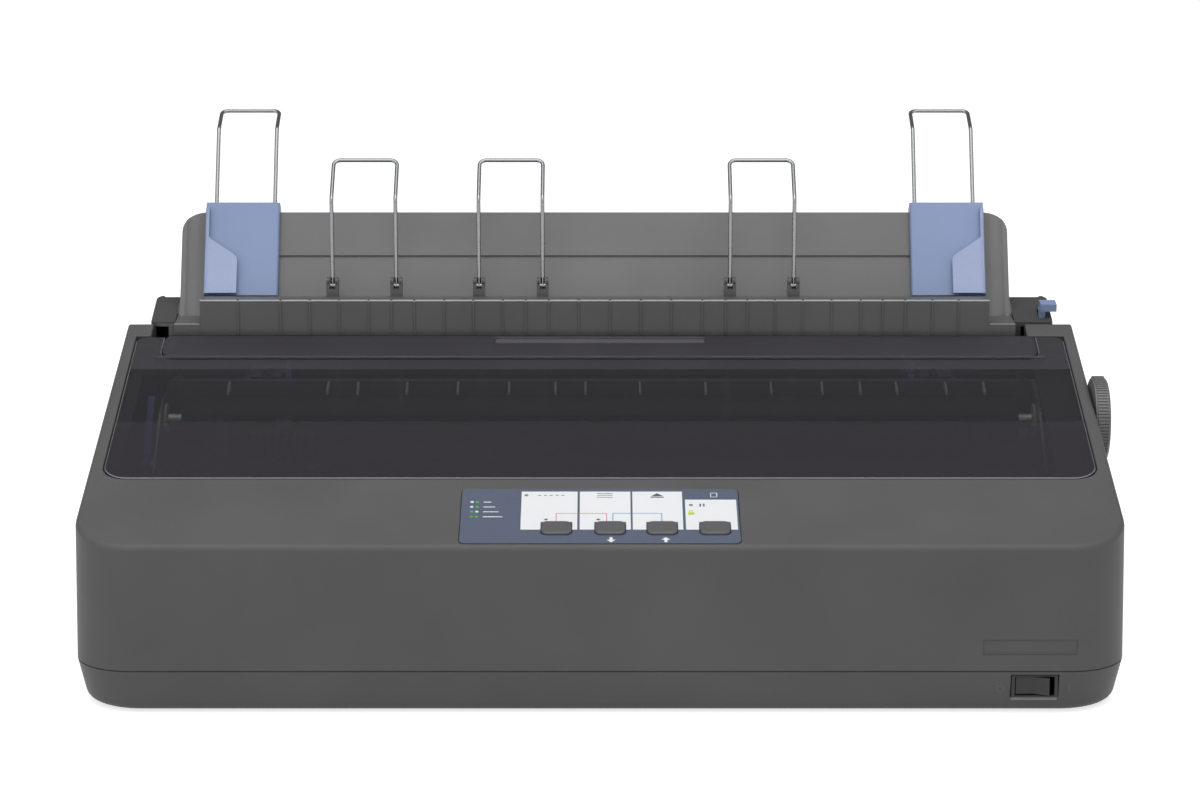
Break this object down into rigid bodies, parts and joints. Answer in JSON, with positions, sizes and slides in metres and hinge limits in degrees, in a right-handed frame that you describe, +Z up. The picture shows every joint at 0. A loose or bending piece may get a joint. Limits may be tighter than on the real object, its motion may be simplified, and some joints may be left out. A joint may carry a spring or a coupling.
{
  "type": "dot matrix printer",
  "caption": "Wide desktop dot matrix printer with a hinged smoked cover, ribbed paper guide, wire paper supports, sliding blue edge guides, platen knob and print carriage.",
  "frame": {"origin": "middle of the whole printer's box, on the surface that it stands on", "axes": "+X to the right as seen from the front, +Y to the back, +Z up"},
  "size_m": [0.5466, 0.3234, 0.2628],
  "materials": {
    "case_top": "fine moulded texture",
    "case_bottom": "fine moulded texture",
    "case_rear": "fine moulded texture",
    "smoked_cover": "smoked transparent",
    "panel": "printed label",
    "buttons": "satin",
    "switch": "satin",
    "knob": "moulded ribs",
    "guide_dark": "fine moulded texture",
    "guide_plate": "translucent grey moulding",
    "blue_plastic": "satin",
    "chromed_wire": "bright",
    "sheet_steel": "zinc plated",
    "steel_rod": "ground",
    "platen_rubber": "ground matt",
    "gear_plastic": "moulded",
    "motor": "satin",
    "brass": "turned",
    "black_plastic": "moulded",
    "circuit_board": "solder mask",
    "port_metal": "plated",
    "foot_rubber": "matt",
    "belt_rubber": "matt",
    "ribbon_fabric": "inked"
  },
  "bodies": {
    "printer_body": {"lower_case": "case_bottom", "upper_case": "case_top", "rear_case": "case_rear", "rubber_feet": "foot_rubber", "case_screws": "steel_rod", "control_panel": "panel", "panel_board": "circuit_board", "switch_housing": "switch", "base_frame": "sheet_steel", "side_frame_left": "sheet_steel", "side_frame_right": "sheet_steel", "control_board": "circuit_board", "power_supply": "circuit_board", "power_inlet": "black_plastic", "interface_ports": "port_metal", "platen_bushes": "gear_plastic", "feed_motor": "motor", "tractor_rod": "steel_rod", "carriage_rod": "steel_rod", "carriage_belt": "belt_rubber", "carriage_motor": "motor", "ribbon_cartridge": "black_plastic", "ink_ribbon": "ribbon_fabric", "tension_bar": "guide_dark"},
    "cover": {"main_cover": "smoked_cover"},
    "flap": {"cover_flap": "smoked_cover"},
    "button_1": {"button_1": "buttons"},
    "button_2": {"button_2": "buttons"},
    "button_3": {"button_3": "buttons"},
    "button_4": {"button_4": "buttons"},
    "rocker": {"power_rocker": "switch"},
    "platen": {"platen_roller": "platen_rubber", "platen_shaft": "steel_rod", "platen_knob": "knob", "platen_gear": "gear_plastic"},
    "idler": {"idler_gear": "gear_plastic"},
    "tractor_drive": {"tractor_shaft": "steel_rod"},
    "pinion": {"motor_pinion": "brass"},
    "tractor_left": {"tractor_left": "black_plastic"},
    "tractor_right": {"tractor_right": "black_plastic"},
    "door_left": {"tractor_door_left": "black_plastic"},
    "door_right": {"tractor_door_right": "black_plastic"},
    "lock_left": {"tractor_lock_left": "blue_plastic"},
    "lock_right": {"tractor_lock_right": "blue_plastic"},
    "carriage": {"carriage": "black_plastic", "print_head": "motor"},
    "drive_pulley": {"drive_pulley": "gear_plastic"},
    "tension_pulley": {"tension_pulley": "gear_plastic"},
    "ribbon_knob": {"ribbon_knob": "guide_dark"},
    "thickness_lever": {"thickness_lever": "blue_plastic"},
    "release_lever": {"release_lever": "blue_plastic"},
    "paper_guide": {"paper_guide": "guide_dark", "back_plate": "guide_plate"},
    "output_wire_1": {"output_wire_1": "chromed_wire"},
    "output_wire_2": {"output_wire_2": "chromed_wire"},
    "output_wire_3": {"output_wire_3": "chromed_wire"},
    "edge_left": {"edge_guide_left": "blue_plastic"},
    "edge_right": {"edge_guide_right": "blue_plastic"},
    "guide_wire_left": {"guide_wire_left": "chromed_wire"},
    "guide_wire_right": {"guide_wire_right": "chromed_wire"}
  },
  "joints": [
    {"name": "cover_hinge", "type": "hinge", "parent": "printer_body", "child": "cover", "pos_m": [-0.0038, 0.05757, 0.14336], "axis": [-1, 0, 0], "range_deg": [0, 75]},
    {"name": "flap_hinge", "type": "hinge", "parent": "cover", "child": "flap", "pos_m": [-0.0038, 0.03833, 0.1418], "axis": [1, 0, 0], "range_deg": [0, 80]},
    {"name": "guide_tilt", "type": "hinge", "parent": "printer_body", "child": "paper_guide", "pos_m": [-0.0038, 0.0945, 0.15107], "axis": [-1, 0, 0], "range_deg": [0, 62]},
    {"name": "edge_left_slide", "type": "slide", "parent": "paper_guide", "child": "edge_left", "axis": [1, 0, 0], "range_m": [0, 0.05]},
    {"name": "edge_right_slide", "type": "slide", "parent": "paper_guide", "child": "edge_right", "axis": [1, 0, 0], "range_m": [-0.28, 0]},
    {"name": "guide_wire_left_slide", "type": "slide", "parent": "edge_left", "child": "guide_wire_left", "axis": [0, 0.4695, 0.8829], "range_m": [-0.036, 0]},
    {"name": "guide_wire_right_slide", "type": "slide", "parent": "edge_right", "child": "guide_wire_right", "axis": [0, 0.4695, 0.8829], "range_m": [-0.036, 0]},
    {"name": "output_wire_1_fold", "type": "hinge", "parent": "paper_guide", "child": "output_wire_1", "pos_m": [-0.137, 0.0821, 0.17397], "axis": [1, 0, 0], "range_deg": [0, 90]},
    {"name": "output_wire_2_fold", "type": "hinge", "parent": "paper_guide", "child": "output_wire_2", "pos_m": [-0.0542, 0.0821, 0.17397], "axis": [1, 0, 0], "range_deg": [0, 90]},
    {"name": "output_wire_3_fold", "type": "hinge", "parent": "paper_guide", "child": "output_wire_3", "pos_m": [0.0877, 0.0821, 0.17397], "axis": [1, 0, 0], "range_deg": [0, 90]},
    {"name": "platen_turn", "type": "hinge", "parent": "printer_body", "child": "platen", "pos_m": [-0.0038, 0.0035, 0.11499], "axis": [1, 0, 0], "continuous": true},
    {"name": "idler_turn", "type": "hinge", "parent": "printer_body", "child": "idler", "pos_m": [-0.0038, 0.032, 0.11349], "axis": [1, 0, 0], "continuous": true},
    {"name": "tractor_turn", "type": "hinge", "parent": "printer_body", "child": "tractor_drive", "pos_m": [-0.0038, 0.0605, 0.11199], "axis": [1, 0, 0], "continuous": true},
    {"name": "pinion_turn", "type": "hinge", "parent": "printer_body", "child": "pinion", "pos_m": [-0.0038, 0.032, 0.091], "axis": [1, 0, 0], "continuous": true},
    {"name": "tractor_left_slide", "type": "slide", "parent": "printer_body", "child": "tractor_left", "axis": [1, 0, 0], "range_m": [0, 0.06]},
    {"name": "tractor_right_slide", "type": "slide", "parent": "printer_body", "child": "tractor_right", "axis": [1, 0, 0], "range_m": [-0.25, 0]},
    {"name": "door_left_hinge", "type": "hinge", "parent": "tractor_left", "child": "door_left", "pos_m": [-0.2018, 0.0605, 0.12579], "axis": [0, -1, 0], "range_deg": [0, 100]},
    {"name": "lock_left_turn", "type": "hinge", "parent": "tractor_left", "child": "lock_left", "pos_m": [-0.2038, 0.0815, 0.11199], "axis": [1, 0, 0], "range_deg": [0, 45]},
    {"name": "door_right_hinge", "type": "hinge", "parent": "tractor_right", "child": "door_right", "pos_m": [0.1942, 0.0605, 0.12579], "axis": [0, 1, 0], "range_deg": [0, 100]},
    {"name": "lock_right_turn", "type": "hinge", "parent": "tractor_right", "child": "lock_right", "pos_m": [0.1962, 0.0815, 0.11199], "axis": [1, 0, 0], "range_deg": [0, 45]},
    {"name": "carriage_slide", "type": "slide", "parent": "printer_body", "child": "carriage", "axis": [1, 0, 0], "range_m": [0, 0.34]},
    {"name": "drive_pulley_turn", "type": "hinge", "parent": "printer_body", "child": "drive_pulley", "pos_m": [-0.2238, -0.0285, 0.06799], "axis": [0, 0, 1], "range_deg": [-4000, 4000]},
    {"name": "tension_pulley_turn", "type": "hinge", "parent": "printer_body", "child": "tension_pulley", "pos_m": [0.2162, -0.0285, 0.06799], "axis": [0, 0, 1], "range_deg": [-4000, 4000]},
    {"name": "ribbon_knob_turn", "type": "hinge", "parent": "printer_body", "child": "ribbon_knob", "pos_m": [-0.1538, -0.0685, 0.10519], "axis": [0, 0, 1], "continuous": true},
    {"name": "thickness_lever_turn", "type": "hinge", "parent": "printer_body", "child": "thickness_lever", "pos_m": [-0.2518, -0.0185, 0.09499], "axis": [-1, 0, 0], "range_deg": [0, 20]},
    {"name": "release_lever_turn", "type": "hinge", "parent": "printer_body", "child": "release_lever", "pos_m": [0.2476, 0.0935, 0.11407], "axis": [-1, 0, 0], "range_deg": [0, 8]},
    {"name": "button_1_press", "type": "slide", "parent": "printer_body", "child": "button_1", "axis": [0, 0.2554, -0.9668], "range_m": [0, 0.0012], "stiffness_N_per_m": 300, "springref_m": -0.0006},
    {"name": "button_2_press", "type": "slide", "parent": "printer_body", "child": "button_2", "axis": [0, 0.2554, -0.9668], "range_m": [0, 0.0012], "stiffness_N_per_m": 300, "springref_m": -0.0006},
    {"name": "button_3_press", "type": "slide", "parent": "printer_body", "child": "button_3", "axis": [0, 0.2554, -0.9668], "range_m": [0, 0.0012], "stiffness_N_per_m": 300, "springref_m": -0.0006},
    {"name": "button_4_press", "type": "slide", "parent": "printer_body", "child": "button_4", "axis": [0, 0.2554, -0.9668], "range_m": [0, 0.0012], "stiffness_N_per_m": 300, "springref_m": -0.0006},
    {"name": "rocker_turn", "type": "hinge", "parent": "printer_body", "child": "rocker", "pos_m": [0.2175, -0.1535, 0.0154], "axis": [0, 0, 1], "range_deg": [0, 18]}
  ],
  "couplings": [
    {"joint": "idler_turn", "follows": "platen_turn", "ratio": -0.64706},
    {"joint": "tractor_turn", "follows": "platen_turn", "ratio": 1},
    {"joint": "pinion_turn", "follows": "platen_turn", "ratio": 2.2},
    {"joint": "drive_pulley_turn", "follows": "carriage_slide", "rad_per_m": 151.52},
    {"joint": "tension_pulley_turn", "follows": "carriage_slide", "rad_per_m": 151.52}
  ]
}
